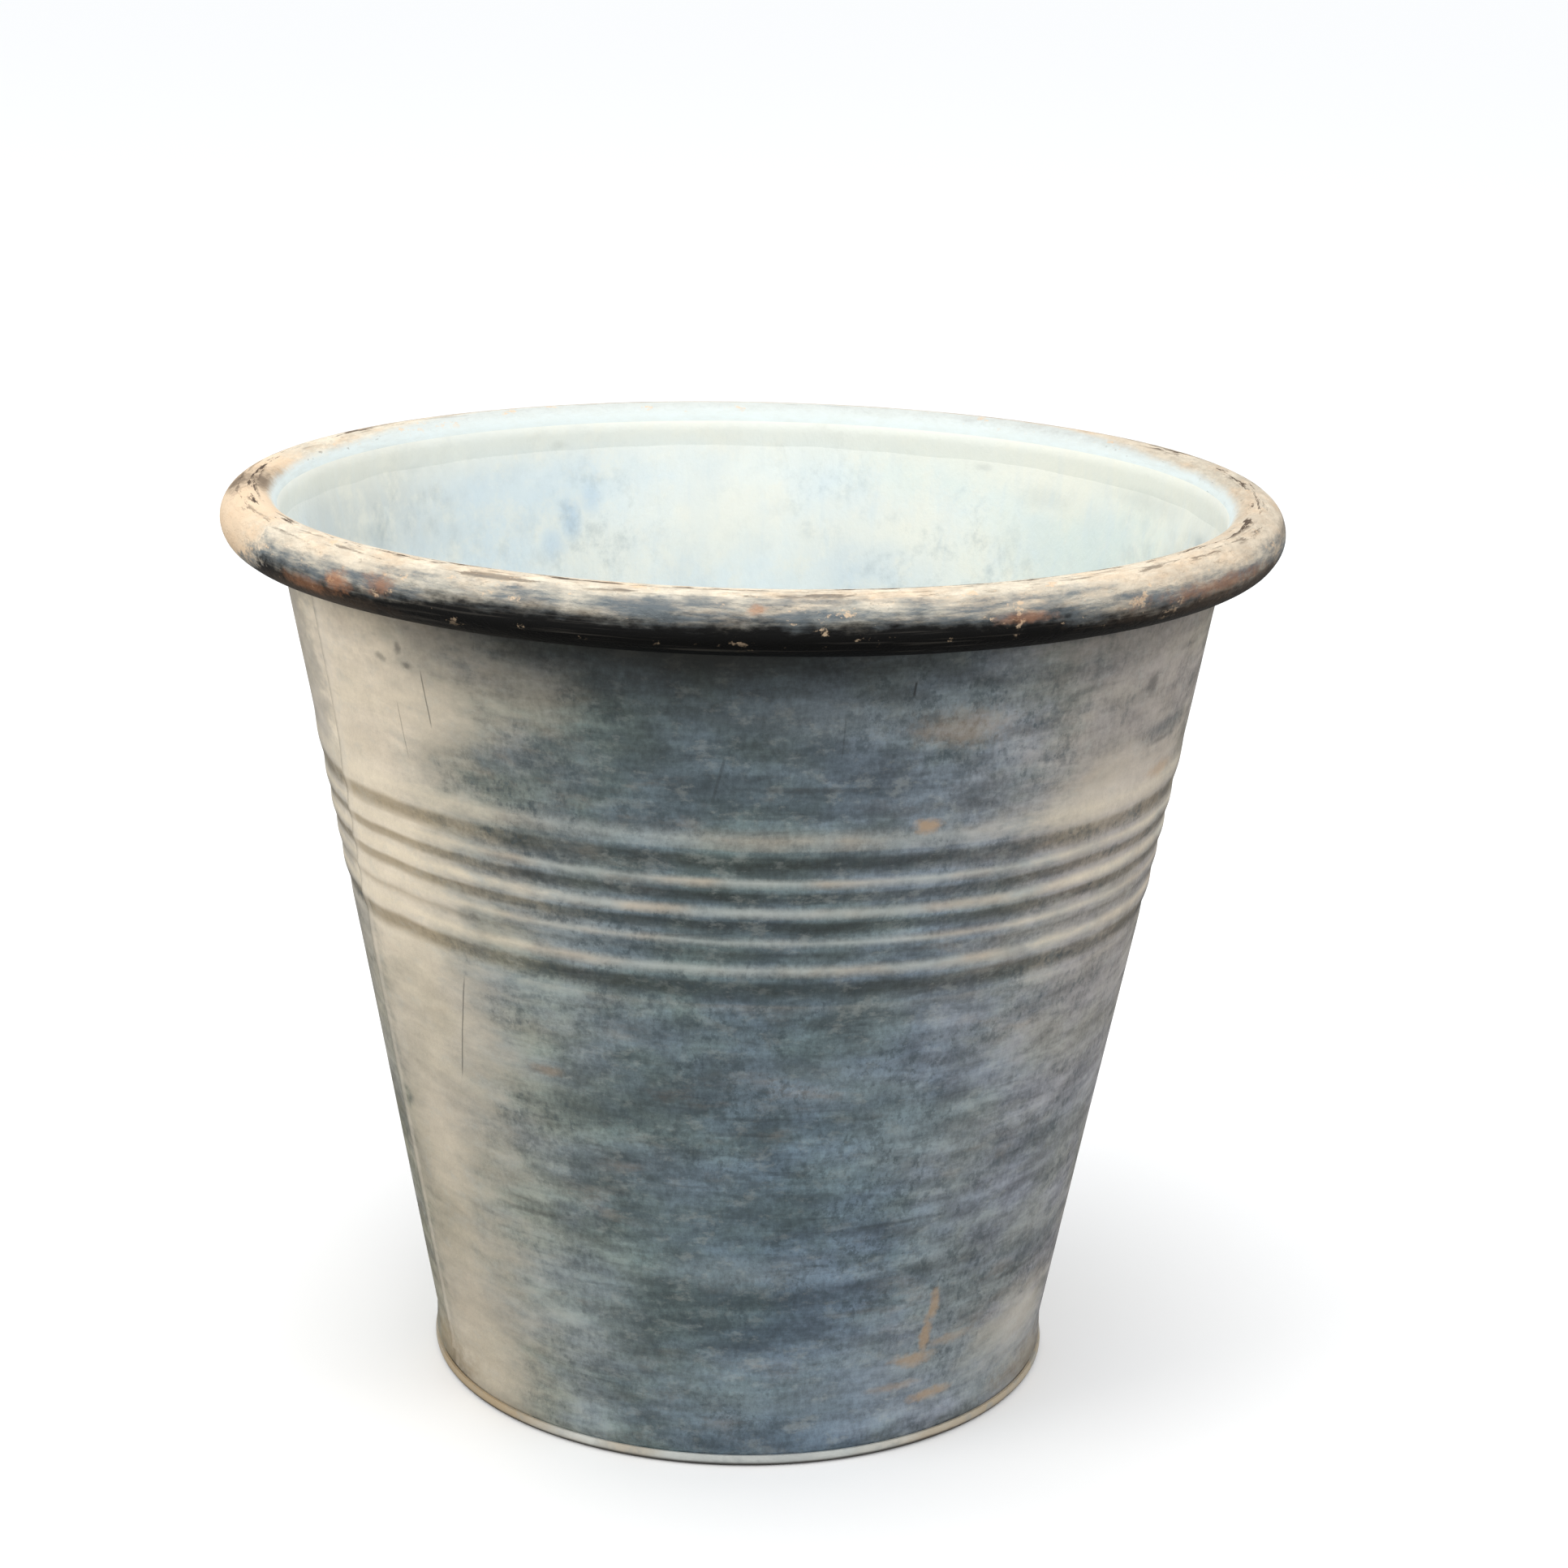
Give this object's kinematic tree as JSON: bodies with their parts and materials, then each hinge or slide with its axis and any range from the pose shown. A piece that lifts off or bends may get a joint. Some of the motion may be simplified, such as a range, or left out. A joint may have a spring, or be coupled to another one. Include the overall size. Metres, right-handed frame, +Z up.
{
  "type": "florist bucket",
  "caption": "Tapered zinc florist bucket with a thick rolled rim, a band of raised rings round the wall, a lapped side seam and a crimped base.",
  "frame": {"origin": "centre of the bucket's footprint, on the ground", "axes": "+Z up along the bucket's axis, -Y towards the viewer; the side seam is at 204 degrees from +X, anticlockwise seen from above"},
  "size_m": [0.28, 0.28, 0.2436],
  "materials": {
    "wall_zinc": "weathered dull zinc, cloudy blue-grey with pale wiped patches",
    "pan_zinc": "weathered dull zinc",
    "rim_paint": "worn charcoal paint over rusting steel, rubbed to a cream ground on top",
    "wire_steel": "bare drawn steel",
    "solder": "dull solder"
  },
  "bodies": {
    "root": {"side_wall": "wall_zinc", "seam_solder": "solder", "rim_roll": "rim_paint", "rim_wire": "wire_steel", "bottom_pan": "pan_zinc", "base_solder": "solder"}
  },
  "joints": []
}
